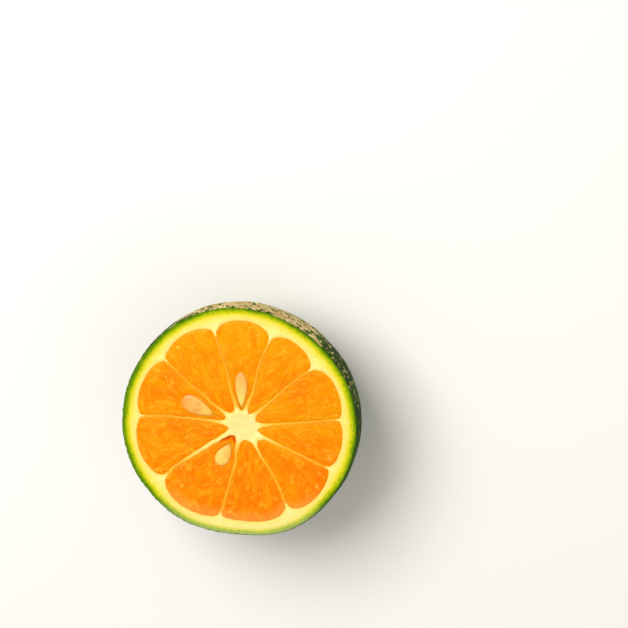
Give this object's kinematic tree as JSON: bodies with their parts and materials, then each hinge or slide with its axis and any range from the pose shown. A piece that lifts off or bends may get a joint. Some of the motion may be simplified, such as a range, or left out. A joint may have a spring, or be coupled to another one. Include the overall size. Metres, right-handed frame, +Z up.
{
  "type": "rangpur lime half",
  "caption": "Half of a small round citrus fruit with green skin, pale pith and orange pulp in wedge segments, cut face up, lying on its rounded stem end.",
  "frame": {"origin": "middle of the bounding box in plan, at the height of the surface the half rests on", "axes": "+Z up the fruit's axis, from the stem end to the cut face; the cut face is level, and +Y points at the segment that holds the slim seed"},
  "size_m": [0.0602, 0.0588, 0.0299],
  "materials": {
    "skin": "green waxy pebbled rind with a lime-coloured cut edge and tan corky patches",
    "pith": "pale yellow, matte and spongy",
    "pulp": "wet orange juice sacs, cut across",
    "seed": "smooth, wet and cream-coloured",
    "calyx": "dry, green-brown and woody"
  },
  "bodies": {
    "root": {"skin": "skin", "pith": "pith", "segment_01": "pulp", "segment_02": "pulp", "segment_03": "pulp", "segment_04": "pulp", "segment_05": "pulp", "segment_06": "pulp", "segment_07": "pulp", "segment_08": "pulp", "segment_09": "pulp", "segment_10": "pulp", "seed_01": "seed", "seed_02": "seed", "seed_03": "seed", "calyx": "calyx"}
  },
  "joints": []
}
